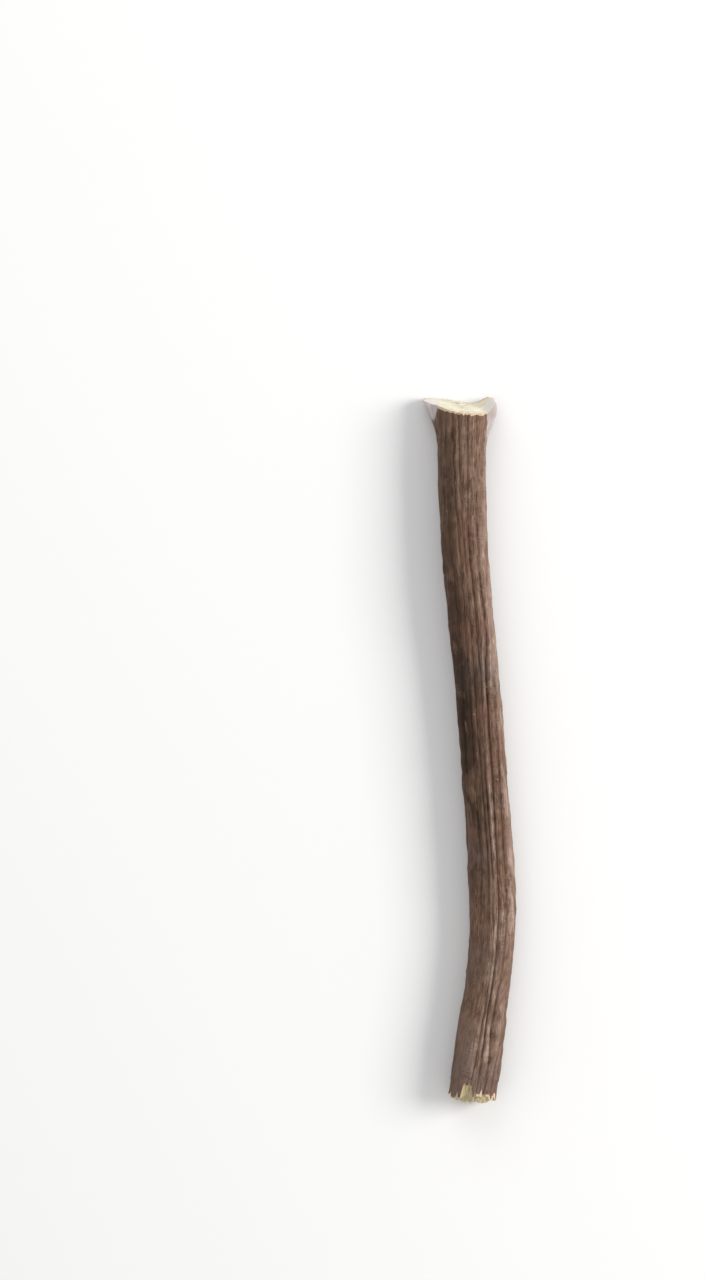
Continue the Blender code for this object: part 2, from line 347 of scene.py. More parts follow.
# The bark's tone: what each grain and each mask adds, and the tone without them.
STREAK_WEIGHTS = (0.22, 0.2, 0.2)  # of the fine, the broad and the mottled grain
STREAK_LEVEL = -0.31
STREAK_STRENGTH = (0.5, 0.75)  # on the smooth sides, and how much more on the rough ones
TONE_WEIGHTS = (("crest", 0.19), ("worn", 0.3), ("worn_ridge", 0.33), ("stained", -0.36))
TONE_LEVEL = 0.41

# The torn edge and the painted glare on the corners are broken up by the grain: its weight, and the level
# added.
TORN_BREAK = (0.35, -0.17)
TORN_STEP = (0.4, 0.65)
GLARE_BREAK = (0.35, -0.35)
GLARE_MIX = (0.4, 0.6)  # of the fine and the broad grain, in the painted glare's colour over the bark
GLARE_STEP = (0.25, 0.75)
GLARE_TO_PALEST = (1.4, 2.1)

# How strongly each thing tints what is under it.
FLAKED_STRENGTH = 0.65
RED_STRENGTH = 0.4
GREY_STRENGTH = 0.25
CRACK_STRENGTH = 0.45
RAY_STRENGTH = 0.35
BLOTCH_STRENGTH = 0.4
WOOD_CRACK_STRENGTH = 0.8
BROKEN_STRENGTH = 0.75

# The wood's face: its rays, its cracks and where the sawn wood gives way to the broken.
RAY_SCALE = 16.0
RAY_CONTRAST = (0.35, 0.65)
RING_WOBBLE = (0.04, 0.02)  # how far the fibres and the rays shift its rings
WOOD_CRACK_SCALE = 5.0
WOOD_CRACK_STEP = (0.66, 0.7)
WOOD_CRACK_REACH = (0.9, 0.3)  # shares of the radius at which a crack has died away and is full
CHECK_BREAK = 0.15
CHECK_STEP = (0.35, 0.8)
BROKEN_FROM = (100.0 * MM, 120.0 * MM)

# Relief of the materials: what each thing adds to it, and how high it is.
BARK_RELIEF = (0.6, 0.5, -0.8)  # of the fine grain, the grit and the cracks
BARK_RELIEF_HEIGHT = 0.08 * MM
GRIT_SCALE = 5200.0
WOOD_RELIEF = (0.6, 0.4, -2.0)  # of the fibres, the rays and the cracks
WOOD_RELIEF_HEIGHT = 0.09 * MM
SPLINTER_RELIEF_HEIGHT = 0.04 * MM
WELT_RELIEF_HEIGHT = 0.03 * MM

# Roughness: its change with the grain, and its level. Shine: how strongly a surface reflects.
BARK_ROUGHNESS = (-0.12, 0.9)
WOOD_ROUGHNESS = (0.1, 0.72)
SPLINTER_ROUGHNESS = (0.15, 0.65)
WELT_ROUGHNESS = (0.1, 0.8)
FLOOR_ROUGHNESS = 0.95
BARK_SHINE = 0.2
FLOOR_SHINE = 0.1

# Each light: its place, its size in metres, its power in watts and its colour.
KEY_LIGHT = ((0.85, 0.15, 0.62), 0.5, 9.0, (1.0, 0.985, 0.965))
RIM_LIGHT = ((-0.2, 0.6, 0.5), 0.5, 1.2, (0.96, 0.98, 1.0))
SURROUNDINGS = (1.0, 1.0, 1.0, 1.0)
SURROUNDINGS_STRENGTH = 0.62

FLOOR_HALF = 3.0  # half of the floor's side, in metres
FLOOR_CLOUD_SCALE = 3.0  # clouds in a metre of it

# The camera looks straight down: the middle of its picture, the height of what it sees
# in metres, and the height of the root's middle, where that size is true.
LENS = 135.0
SENSOR = 36.0
VIEW_MIDDLE = Vector((-23.35 * MM, 22.0 * MM))
VIEW_HEIGHT = 256.0 * MM
VIEW_LEVEL = 4.7 * MM


def between_stations(along, entry):
    """One entry of the stations at distances along the root, on a smooth curve, in metres."""
    places, values = STATIONS[:, 0] * MM, STATIONS[:, entry] * MM
    wide_places = np.concatenate((places[:1], places, places[-1:]))
    wide_values = np.concatenate((values[:1], values, values[-1:]))
    slopes = (wide_values[2:] - wide_values[:-2]) / (wide_places[2:] - wide_places[:-2])
    k = np.clip(np.searchsorted(places, along, side="right") - 1, 0, len(places) - 2)
    gap = places[k + 1] - places[k]
    t = np.clip((along - places[k]) / gap, 0.0, 1.0)
    rise = values[k] * (1 + 2 * t) * (1 - t) ** 2 + values[k + 1] * t * t * (3 - 2 * t)
    return rise + gap * (slopes[k] * t * (1 - t) ** 2 - slopes[k + 1] * t * t * (1 - t))


def smooth_step(value, low, high):
    """0 below low and 1 above high, with a smooth rise between them."""
    t = np.clip((value - low) / (high - low), 0.0, 1.0)
    return t * t * (3 - 2 * t)


def bell(value, width):
    """1 at 0, falling smoothly to almost nothing at twice the width."""
    return np.exp(-((value / width) ** 2))


def smooth_noise(x, y, z):
    """Smooth noise at many places, from about -0.5 to 0.5."""
    places = np.stack(np.broadcast_arrays(x, y, z), axis=-1)
    return np.array([noise.noise(place) for place in places.tolist()])


def bark_noise(angle, along, pattern):
    """Smooth noise on the bark."""
    cells, run, seed = pattern
    radius = cells / (2 * math.pi)
    return smooth_noise(radius * np.cos(angle) + seed, radius * np.sin(angle) - seed, along / run + seed)


def angle_apart(a, b):
    """Signed angle from b to a, from -pi to pi."""
    return (a - b + math.pi) % (2 * math.pi) - math.pi


def scar_share(angle, along, scar, spread=1.0):
    """1 at the middle of a scar, falling smoothly to 0 outside it, and the angle across it."""
    place, middle, half_length, half_width, _ = scar
    across = angle_apart(angle, middle)
    sideways = across * between_stations(along, WIDTH) / 2
    return bell(along - place, half_length * spread) * bell(sideways, half_width * spread), across


def bark_angle(column, along):
    """Angle from the top towards +X at which a column of the mesh lies, at distances along the root."""
    slow = bark_noise(column, along, WANDER_PATTERN)
    quick = bark_noise(column, along, QUICK_WANDER_PATTERN)
    turn = np.radians(between_stations(along, TURN) / MM)
    angle = column + turn + RIDGE_WANDER * (slow + QUICK_WANDER * quick)
    for scar in SCARS:
        share, across = scar_share(angle, along, scar, SCAR_SPREAD)
        angle = angle + SCAR_PUSH * share * np.tanh(SCAR_PUSH_STEEPNESS * across)
    return angle


def ridge_profile(column):
    """0 in a furrow and 1 on the crest of a ridge."""
    return np.abs(np.sin(RIDGES * column / 2)) ** RIDGE_SHARPNESS


def roughness(angle):
    """How much deeper the furrows are at an angle, on the rough sides of the root."""
    return sum(share * bell(angle_apart(angle, middle), width) for middle, width, share in ROUGH_SIDES)


def ridge_height(column, angle, along):
    """Height of the main ridges over their own level."""
    change = bark_noise(column, along, FURROW_PATTERN)
    depth = np.clip(FURROW_LEAST + roughness(angle) + FURROW_CHANGE * change, *FURROW_LIMITS)
    return RIDGE_HEIGHT * depth * (ridge_profile(column) - RIDGE_LEVEL)


def rib_height(column, angle, along):
    """Height of the ribs and fibres that lie on the main ridges."""
    warped = column + RIB_WARP * bark_noise(column, along, RIB_WARP_PATTERN)
    profile = np.abs(np.sin(RIBS * warped / 2)) ** RIB_SHARPNESS
    change = bark_noise(column, along, RIB_PATTERN)
    depth = np.clip(RIB_LEAST + roughness(angle) + RIB_CHANGE * change, *RIB_LIMITS)
    fibres = bark_noise(column, along, FIBRE_PATTERN)
    return RIB_HEIGHT * depth * (profile - RIDGE_LEVEL) + FIBRE_HEIGHT * fibres


def flaked_share(column, along):
    """1 where the outer bark has flaked off, and 0 where it is whole."""
    patches = bark_noise(column, along, FLAKE_PATTERN)
    patches = patches + FLAKE_EDGE * bark_noise(column, along, FLAKE_EDGE_PATTERN)
    return smooth_step(patches, *FLAKE_STEP)


def smooth_radius(angle, along):
    """Radius of the form under the ridges: an ellipse, flared out at the crown."""
    half_width = between_stations(along, WIDTH) / 2
    half_depth = between_stations(along, DEPTH) / 2
    radius = 1 / np.hypot(np.sin(angle) / half_width, np.cos(angle) / half_depth)
    for middle, half_angle, rise, start, reach in FLARES:
        flare = 1 - smooth_step(along, start, reach)
        radius = radius + rise * bell(angle_apart(angle, middle), half_angle) * flare
    return radius


def crown_cut(side, top, out, column):
    """Depth of the crown's face below the furthest end, at places across the root from its axis."""
    ear = EAR_RISE * smooth_step(side - EAR_SKEW * top, EAR_START, EAR_FULL)
    rounding = EAR_ROUNDING * smooth_step(side, EAR_SHOULDER, EAR_EDGE)
    saw = SAW_ROUGHNESS * smooth_noise(side / SAW_GRAIN[0], top / SAW_GRAIN[1], SAW_SEED)
    splits = np.abs(bark_noise(column, 0.0 * side, RIM_PATTERN))
    rim = RIM_RAGGED * splits * smooth_step(out, RIM_START, 1.0)
    return CROWN_CUT + CROWN_LEAN[0] * side + CROWN_LEAN[1] * top - ear + rounding + saw + rim


def strand_shortness(column, count, seed):
    """How much sooner each of count strands round the tip ends than the longest, from 0 to about 1."""
    strand = np.floor(count * column / (2 * math.pi))
    step, row, layer = seed
    return np.abs(smooth_noise(strand * step, row, layer))


def chip_share(angle, spread=1.0):
    """1 where a chip of bark is gone from the tip, and 0 beside it."""
    return np.exp(-((angle_apart(angle, CHIP_ANGLE) / (CHIP_HALF_ANGLE * spread)) ** CHIP_STEEPNESS))


def tip_break(column, angle, out, side, top):
    """Depth of the tip's broken face below the furthest end; out is 0 at its middle, 1 at the bark."""
    ragged = STRAND_RAGGED * strand_shortness(column, RIDGES, STRAND_SEED)
    ragged = ragged + FINE_STRAND_RAGGED * strand_shortness(column, RIBS, FINE_STRAND_SEED)
    ragged = ragged + STRAND_POINT * (1 - ridge_profile(column))
    core = CORE_RAGGED * smooth_noise(side / CORE_GRAIN, top / CORE_GRAIN, CORE_SEED)
    ends = smooth_noise(side / FIBRE_ENDS_GRAIN, top / FIBRE_ENDS_GRAIN, FIBRE_ENDS_SEED)
    chip = CHIP_DEPTH * chip_share(angle)
    edge = smooth_step(out, CHIP_FLOOR, 1.0)
    lean = TIP_LEAN[0] * side + TIP_LEAN[1] * top
    return TIP_CUT + lean + core + FIBRE_ENDS_RAGGED * ends * (1 - edge) + (ragged + chip) * edge


def fade(distance):
    """1 at an end, falling to 0 at END_REACH from it."""
    return np.maximum(0.0, 1 - distance / END_REACH) ** 2


def rod_to_along(z):
    """Distance along the root of the rod's z; the rings crowd towards the two ends."""
    return LENGTH * (z - RING_CROWDING * np.sin(2 * math.pi * z) / (2 * math.pi))


def lit_flank_and_worn_ridge_masks(column, angle, along):
    """Where the one flank is painted pale as a highlight of the light from the right, and where the crests
    of two ridges are worn pale.
    """
    fading, faded, share = PAINTED_LIT_FADE
    flank = bell(angle_apart(angle, PAINTED_LIT_ANGLE), PAINTED_LIT_HALF_ANGLE)
    flank *= 1 - share * smooth_step(along, fading, faded)
    begin, full, fading, faded = WORN_RIDGE_SPAN
    span = smooth_step(along, begin, full) * (1 - smooth_step(along, fading, faded))
    lines = sum(share * bell(angle_apart(column, c), half_angle) for c, half_angle, share in WORN_RIDGES)
    return {"worn": flank, "worn_ridge": span * lines}


def torn_mask(column, angle, straight):
    """Where the bark's edge is torn at the crown and frayed at the tip."""
    ragged = bark_noise(column, 0.0 * straight, TORN_PATTERN)
    torn = 1 - smooth_step(straight + TORN_RAGGED * ragged, *TORN_EDGE)
    frayed = 1 - smooth_step(LENGTH - straight + FRAYED_RAGGED * ragged, *FRAYED_EDGE)
    middle, half_angle, share = UNFRAYED
    whole = share * bell(angle_apart(angle, middle), half_angle)
    return torn + frayed * (1 - chip_share(angle, CHIP_SPREAD)) * (1 - whole)


def stain_and_shade_mask(angle, along):
    """How dark the bark is stained, and on the left flank painted shaded, less than 0 where it is bleached.
    """
    stained = 0.0 * along
    for place, half_length, middle, half_angle, share in STAINS_AND_SHADE:
        across = bell(angle_apart(angle, math.radians(middle)), math.radians(half_angle))
        stained += share * bell(along - place * MM, half_length * MM) * across
    return stained


def scarred_mask(angle, along):
    """The dark floor of a pit, and the dark ring round a raised scar."""
    scarred = 0.0 * along
    for scar in SCARS:
        share = scar_share(angle, along, scar)[0]
        scarred += share if scar[SCAR_HEIGHT] < 0 else SCAR_RING * share * (1 - share)
    return scarred


def checked_mask(side, top):
    """Where the crown's face has dark checks."""
    return sum(bell(side - x, length) * bell(top - y, width) for x, y, length, width in CHECKS)


def painted_glare_mask(sideways, upwards, along):
    """Where the crown's corners carry a painted glare, a pale reflection on their upper side, from places
    across the root.
    """
    rubbed = 0.0 * along
    upper = smooth_step(upwards, *GLARE_FROM)
    for start, full, fading, gone, share in GLARE_CORNERS:
        corner = smooth_step(sideways, start, full) * (1 - smooth_step(along, fading, gone))
        rubbed += share * corner * upper
    return rubbed


def bark_radius(column, angle, along, relief):
    """The bark's distance from the axis, with its relief, waves, plates, lumps and scars."""
    radius = smooth_radius(angle, along) + relief
    radius += WAVE_HEIGHT * bark_noise(angle, along, WAVE_PATTERN)
    radius += PLATE_HEIGHT * bark_noise(column, along, PLATE_PATTERN)
    radius += LUMP_HEIGHT * bark_noise(column, along, LUMP_PATTERN)
    for scar in SCARS:
        radius += scar[SCAR_HEIGHT] * scar_share(angle, along, scar)[0]
    return radius


def shape_root(rod):
    """Where points of the unit rod go, and what the materials need to know there.

    In the rod x and y are on its disc, from 0 to 1, and z runs from 0 at the crown to 1 at the tip.
    """
    column, out = np.arctan2(rod[:, 0], rod[:, 1]), np.hypot(rod[:, 0], rod[:, 1])
    straight = rod_to_along(rod[:, 2])
    angle = bark_angle(column, straight)
    reach = out * smooth_radius(angle, straight)
    side, top = reach * np.sin(angle), reach * np.cos(angle)
    along = straight + crown_cut(side, top, out, column) * fade(straight)
    along -= tip_break(column, angle, out, side, top) * fade(LENGTH - straight)

    crest = ridge_height(column, angle, along) + rib_height(column, angle, along)
    flaked = flaked_share(column, along)
    radius = bark_radius(column, angle, along, crest - FLAKE_DEPTH * flaked) * out
    sideways, upwards = radius * np.sin(angle), radius * np.cos(angle)
    axis_height = between_stations(along, DEPTH) / 2 + between_stations(along, LIFT) - REST_FLAT
    height = np.maximum(axis_height + upwards, 0.0)
    places = np.stack((between_stations(along, PLACE) + sideways, LENGTH / 2 - along, height), axis=1)

    straight_out = GRAIN_RADIUS * out
    laid_out = np.stack((straight_out * np.sin(column), straight_out * np.cos(column), along), axis=1)
    masks = {"grain_place": laid_out, "crest": crest, "flaked": flaked}
    # The flank mask is a painted highlight where the light falls from the right.
    masks.update(lit_flank_and_worn_ridge_masks(column, angle, along))
    masks["rough"] = np.minimum(roughness(angle), 1.0)
    masks["torn"] = torn_mask(column, angle, straight)
    # Stains and bleaching, with painted shade on the left flank.
    masks["stained"] = stain_and_shade_mask(angle, along)
    masks["scarred"] = scarred_mask(angle, along)
    masks["checked"] = checked_mask(side, top)
    # A painted glare, a pale reflection, on the crown's corners.
    masks["rubbed"] = painted_glare_mask(sideways, upwards, along)
    return places, masks


def cut_across(bm, cuts):
    """Cuts the edges that run from z = 0 to z = 1 into even lengths."""
    edges = [e for e in bm.edges if abs(e.verts[0].co.z - e.verts[1].co.z) > 0.5]
    bmesh.ops.subdivide_edges(bm, edges=edges, cuts=cuts)


def unit_rod():
    """A closed rod of radius 1 from z = 0 to z = 1, cut into rings. Its two end faces have material 1."""
    sides = RIDGES * COLUMNS_PER_RIDGE
    bm = bmesh.new()
    bmesh.ops.create_cone(bm, cap_ends=True, segments=sides, radius1=1.0, radius2=1.0, depth=1.0)
    bmesh.ops.translate(bm, verts=bm.verts, vec=(0.0, 0.0, 0.5))
    for face in bm.faces:
        face.material_index = 1 if len(face.verts) == sides else 0
    for edge in bm.edges:
        edge.smooth = len({face.material_index for face in edge.link_faces}) == 1
    cut_across(bm, RINGS)
    for share, before in zip(FACE_RINGS, (1.0,) + FACE_RINGS):
        for face in [f for f in bm.faces if len(f.verts) == sides]:
            bmesh.ops.inset_region(bm, faces=[face], thickness=before - share, use_even_offset=False)
    bmesh.ops.poke(bm, faces=[f for f in bm.faces if len(f.verts) == sides])
    return bm


def coordinates(mesh):
    """The places of a mesh's vertices, one row each."""
    values = np.empty(len(mesh.vertices) * 3)
    mesh.vertices.foreach_get("co", values)
    return values.reshape(-1, 3)


def paint(mesh, name, values):
    """Stores a number or a vector for each vertex, for the materials to read."""
    vectors = values.ndim == 2
    layer = mesh.attributes.new(name, "FLOAT_VECTOR" if vectors else "FLOAT", "POINT")
    layer.data.foreach_set("vector" if vectors else "value", values.astype(np.float32).ravel())


def piece_of(bm, name, *materials):
    """A finished mesh as an object at the origin."""
    mesh = bpy.data.meshes.new(name)
    bm.to_mesh(mesh)
    bm.free()
    for polygon in mesh.polygons:
        polygon.use_smooth = True
    for material in materials:
        mesh.materials.append(material)
    piece = bpy.data.objects.new(name, mesh)
    bpy.context.scene.collection.objects.link(piece)
    return piece


def shift_to_solid(places):
    """How far to move the shaped root sideways and lengthways, so that its box is over the solid's."""
    low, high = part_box("licorice_root")
    middle = (np.array(low) + np.array(high)) / 2
    shift = middle - (places.min(axis=0) + places.max(axis=0)) / 2
    shift[2] = 0.0
    return shift


def make_root(bark, wood):
    """The root: its bark, and the two faces where it was cut and broken. Also how far it was moved."""
    root = piece_of(unit_rod(), "root_in_its_bark", bark, wood)
    mesh = root.data
    places, masks = shape_root(coordinates(mesh))
    shift = shift_to_solid(places)
    mesh.vertices.foreach_set("co", (places + shift).ravel())
    mesh.update()
    masks["crest"] = smooth_step(masks["crest"], *CREST_SPAN)
    for name, values in masks.items():
        paint(mesh, name, values)
    return root, shift


def along_to_rod(along):
    """The rod's z for a distance along the root."""
    z = np.linspace(0.0, 1.0, CROWDING_STEPS)
    return float(np.interp(along, rod_to_along(z), z))


def rod_place(column, height, along):
    """The rod's coordinates of a place at a height over the bark."""
    out = 1 + height / GRAIN_RADIUS
    return Vector((out * math.sin(column), out * math.cos(column), along_to_rod(along)))


def row_of_bars(count, cuts):
    """Bars from z = 0 to z = 1, one unit wide and thick, in a row ROW_STEP apart."""
    bm = bmesh.new()
    for number in range(count):
        bmesh.ops.create_cube(bm, size=1.0, matrix=Matrix.Translation((ROW_STEP * number, 0.0, 0.5)))
    cut_across(bm, cuts)
    return bm


def row_of_balls(count):
    """Balls of radius 1 in a row ROW_STEP apart."""
    round_it, down_it = LENTICEL_SEGMENTS
    bm = bmesh.new()
    for number in range(count):
        middle = Matrix.Translation((ROW_STEP * number, 0.0, 0.0))
        bmesh.ops.create_uvsphere(bm, u_segments=round_it, v_segments=down_it, radius=1.0, matrix=middle)
    return bm


def vertices_in_row(bm):
    """Each vertex of a row, with its thing's number in the row and its place in that thing."""
    for v in bm.verts:
        number = round(v.co.x / ROW_STEP)
        yield v, number, v.co.x - ROW_STEP * number, v.co.y, v.co.z


def lay_on_root(bm, name, shift, material):
    """A piece whose vertices are in the rod's coordinates, laid on the shaped bark."""
    piece = piece_of(bm, name, material)
    places, masks = shape_root(coordinates(piece.data))
    piece.data.vertices.foreach_set("co", (places + shift).ravel())
    piece.data.update()
    paint(piece.data, "grain_place", masks["grain_place"])
    # The painted highlight of the lit flank goes onto the scales and lenticels too.
    paint(piece.data, "worn", masks["worn"])
    paint(piece.data, "crest", np.full(len(places), SCALE_CREST))
    return piece


def make_scales(bark, shift):
    """Thin scales of bark, each lifting off at one end beside a furrow."""
    draw = random.Random(SCALE_SEED)
    lengths = [draw.uniform(*SCALE_LENGTH) for _ in range(SCALES)]
    widths = [draw.uniform(*SCALE_WIDTH) for _ in range(SCALES)]
    lifts = [draw.uniform(*SCALE_LIFT) for _ in range(SCALES)]
    furrows = [2 * math.pi * draw.randrange(RIBS) / RIBS for _ in range(SCALES)]
    sides, headings = draw.choices((-1, 1), k=SCALES), draw.choices((-1, 1), k=SCALES)
    starts = [draw.uniform(*SCALE_STARTS) for _ in range(SCALES)]
    wave_start, wave_run = SCALE_WAVE
    bm = row_of_bars(SCALES, SCALE_CUTS)
    for v, number, x, y, z in vertices_in_row(bm):
        taper = math.sqrt(math.sin(math.pi * (wave_start + wave_run * z)))
        rising = z if headings[number] > 0 else 1 - z
        height = lifts[number] * rising**2 + SCALE_THICKNESS * y - SCALE_SUNK
        column = furrows[number] + (sides[number] / 2 + x * taper) * widths[number] / GRAIN_RADIUS
        v.co = rod_place(column, height, starts[number] + z * lengths[number])
    return lay_on_root(bm, "lifted_bark_scales", shift, bark)


def make_lenticels(welt, shift):
    """Short welts that lie across the bark."""
    draw = random.Random(LENTICEL_SEED)
    widths = [draw.uniform(*LENTICEL_WIDTH) / 2 for _ in range(LENTICELS)]
    lengths = [draw.uniform(*LENTICEL_LENGTH) / 2 for _ in range(LENTICELS)]
    columns = [draw.uniform(-math.pi, math.pi) for _ in range(LENTICELS)]
    starts = [draw.uniform(*LENTICEL_STARTS) for _ in range(LENTICELS)]
    bm = row_of_balls(LENTICELS)
    for v, number, x, y, z in vertices_in_row(bm):
        column = columns[number] + x * widths[number] / GRAIN_RADIUS
        v.co = rod_place(column, y * LENTICEL_HEIGHT, starts[number] + z * lengths[number])
    return lay_on_root(bm, "pale_lenticels", shift, welt)


def make_splinters(wood, shift):
    """Slivers of torn wood standing out of the broken tip, with their roots sunk in it."""
    draw = random.Random(SPLINTER_SEED)
    rod = [(draw.uniform(*SPLINTER_OUT), draw.uniform(-math.pi, math.pi)) for _ in range(SPLINTERS)]
    points = np.array([(out * math.sin(column), out * math.cos(column), 1.0) for out, column in rod])
    bases = [Vector(base) for base in shape_root(points)[0] + shift]
    leans = [(draw.gauss(0, SPLINTER_LEAN), draw.gauss(0, SPLINTER_LEAN)) for _ in rod]
    headings = [Vector((x, -1.0, z)).normalized() for x, z in leans]
    flats = [Vector((draw.gauss(0, 1), 0.0, draw.gauss(0, 1))) for _ in rod]
    lengths = [draw.uniform(*SPLINTER_LENGTH) + SPLINTER_SUNK for _ in rod]
    widths = [draw.uniform(*SPLINTER_WIDTH) for _ in rod]
    bends = [draw.uniform(-SPLINTER_BEND, SPLINTER_BEND) for _ in rod]
    bm = row_of_bars(SPLINTERS, SPLINTER_CUTS)
    for v, number, x, y, z in vertices_in_row(bm):
        heading = headings[number]
        across = heading.cross(flats[number]).normalized()
        width = (1 - z * SPLINTER_POINT) ** SPLINTER_TAPER * widths[number]
        bent = y * width / 2 + bends[number] * lengths[number] * z * z
        onward = z * lengths[number] - SPLINTER_SUNK
        v.co = bases[number] + heading * onward + across * x * width + heading.cross(across) * bent
    piece = piece_of(bm, "tip_splinters", wood)
    paint(piece.data, "grain_place", coordinates(piece.data)[:, (0, 2, 1)])
    return piece


def add_node(tree, kind, inputs=None, **settings):
    """Adds a node. Its inputs, by name or number, are plain values or other nodes' outputs."""
    node = tree.nodes.new(kind)
    for name, value in settings.items():
        setattr(node, name, value)
    for key, value in (inputs or {}).items():
        if isinstance(value, bpy.types.NodeSocket):
            tree.links.new(value, node.inputs[key])
        else:
            node.inputs[key].default_value = value
    return node


def calculate(tree, operation, *values):
    """One Math node's result."""
    return add_node(tree, "ShaderNodeMath", dict(enumerate(values)), operation=operation).outputs[0]


def weighted_sum(tree, *terms):
    """The sum of pairs of a value and its weight."""
    total = 0.0
    for value, weight in terms:
        total = calculate(tree, "MULTIPLY_ADD", value, weight, total)
    return total


def stretch(tree, value, low, high):
    """A value spread out so that low gives 0 and high gives 1, with a smooth rise."""
    inputs = {"Value": value, "From Min": low, "From Max": high}
    return add_node(tree, "ShaderNodeMapRange", inputs, interpolation_type="SMOOTHSTEP").outputs[0]


def thin_lines(tree, value):
    """1 on thin lines, where a value passes its middle."""
    off = calculate(tree, "ABSOLUTE", calculate(tree, "SUBTRACT", value, 0.5))
    return stretch(tree, off, LINE_HALF_WIDTH, 0.0)


def noise_texture(tree, place, scale, detail, roughness=0.5):
    """Soft noise from 0 to 1."""
    inputs = {"Vector": place, "Scale": scale, "Detail": detail, "Roughness": roughness}
    return add_node(tree, "ShaderNodeTexNoise", inputs).outputs["Fac"]


def vector_outputs(tree, operation, *values):
    """One Vector Math node's results."""
    return add_node(tree, "ShaderNodeVectorMath", dict(enumerate(values)), operation=operation).outputs


def mix_colours(tree, share, first, second):
    """Two colours mixed; share 0 gives the first. The node takes colours at its sockets 6 and 7."""
    inputs = {0: share, 6: first, 7: second}
    return add_node(tree, "ShaderNodeMix", inputs, data_type="RGBA").outputs[2]


def tint(tree, colour, share, strength, other):
    """A colour with another mixed into it, by strength where share is 1."""
    return mix_colours(tree, calculate(tree, "MULTIPLY", share, strength), colour, other)


def colour_ramp(tree, value, stops):
    """Colours at stops from 0 to 1, with even changes between them."""
    node = add_node(tree, "ShaderNodeValToRGB", {"Fac": value})
    elements = node.color_ramp.elements
    for element, (position, colour) in zip(elements, (stops[0], stops[-1])):
        element.position, element.color = position, colour
    for position, colour in stops[1:-1]:
        elements.new(position).color = colour
    return node.outputs["Color"]


def attribute(tree, name, output):
    """A value or vector stored on the piece's vertices."""
    return add_node(tree, "ShaderNodeAttribute", attribute_name=name).outputs[output]


def new_group(name, inputs, output):
    """An empty node group, with its inner ends: the group's inputs to read and its output to feed."""
    group = bpy.data.node_groups.new(name, "ShaderNodeTree")
    for label, kind in inputs:
        group.interface.new_socket(label, in_out="INPUT", socket_type=kind)
    group.interface.new_socket(output, in_out="OUTPUT", socket_type="NodeSocketFloat")
    return group, group.nodes.new("NodeGroupInput").outputs, group.nodes.new("NodeGroupOutput").inputs[0]


def long_grain_group():
    """Streaks that run along the root: Across and Along are how many lie in a metre each way."""
    inputs = (("Place", "NodeSocketVector"), ("Across", "NodeSocketFloat"), ("Along", "NodeSocketFloat"))
    group, given, result = new_group("long grain", inputs, "Streaks")
    across, along = given["Across"], given["Along"]
    counts = add_node(group, "ShaderNodeCombineXYZ", {0: across, 1: across, 2: along}).outputs[0]
    scaled = vector_outputs(group, "MULTIPLY", given["Place"], counts)[0]
    texture = noise_texture(group, scaled, 1.0, detail=3.0, roughness=0.6)
    group.links.new(stretch(group, texture, *GRAIN_CONTRAST), result)
    return group


def patches_group():
    """Soft patches without direction: Size is their width in metres, Cover the share that they cover."""
    inputs = (("Place", "NodeSocketVector"), ("Size", "NodeSocketFloat"), ("Cover", "NodeSocketFloat"))
    group, given, result = new_group("patches", inputs, "Patches")
    scale = calculate(group, "DIVIDE", 1.0, given["Size"])
    texture = noise_texture(group, given["Place"], scale, detail=4.0)
    level, change = PATCH_LEVEL
    low = calculate(group, "MULTIPLY_ADD", given["Cover"], change, level)
    high = calculate(group, "ADD", low, PATCH_EDGE)
    group.links.new(stretch(group, texture, low, high), result)
    return group


def grain_of(tree, long_grain, place, counts):
    """Streaks, as many in a metre across and along the root as counts says."""
    inputs = {"Place": place, "Across": counts[0], "Along": counts[1]}
    return add_node(tree, "ShaderNodeGroup", inputs, node_tree=long_grain).outputs[0]


def patches_of(tree, patches, place, kind):
    """Patches of the width and cover that kind says."""
    inputs = {"Place": place, "Size": kind[0], "Cover": kind[1]}
    return add_node(tree, "ShaderNodeGroup", inputs, node_tree=patches).outputs[0]


def new_material(name):
    """A material with nothing but its shader: the material, its node tree and the shader."""
    material = bpy.data.materials.new(name)
    material.use_nodes = True
    tree = material.node_tree
    return material, tree, tree.nodes["Principled BSDF"]


def raise_surface(tree, shader, height, distance):
    """Feeds a height into the shader's normal, distance metres high."""
    bump = add_node(tree, "ShaderNodeBump", {"Height": height, "Distance": distance, "Strength": 1.0})
    tree.links.new(bump.outputs[0], shader.inputs["Normal"])


def finish_surface(tree, shader, colour, grain, roughness):
    """Feeds a colour into the shader, and a roughness that changes with a grain."""
    change, level = roughness
    tree.links.new(colour, shader.inputs["Base Color"])
    tree.links.new(weighted_sum(tree, (grain, change), (1.0, level)), shader.inputs["Roughness"])


def bark_tone(tree, mask, grains):
    """How pale the bark is: streaked, paler on the crests, on two worn ridges and on the flank with a
    painted highlight, darker where stained and where shade is painted.
    """
    streaks = weighted_sum(tree, *zip(grains, STREAK_WEIGHTS), (1.0, STREAK_LEVEL))
    smooth, rougher = STREAK_STRENGTH
    strength = weighted_sum(tree, (mask["rough"], rougher), (1.0, smooth))
    streaks = calculate(tree, "MULTIPLY", streaks, strength)
    masks = [(mask[name], weight) for name, weight in TONE_WEIGHTS]
    return weighted_sum(tree, *masks, (streaks, 1.0), (1.0, TONE_LEVEL))


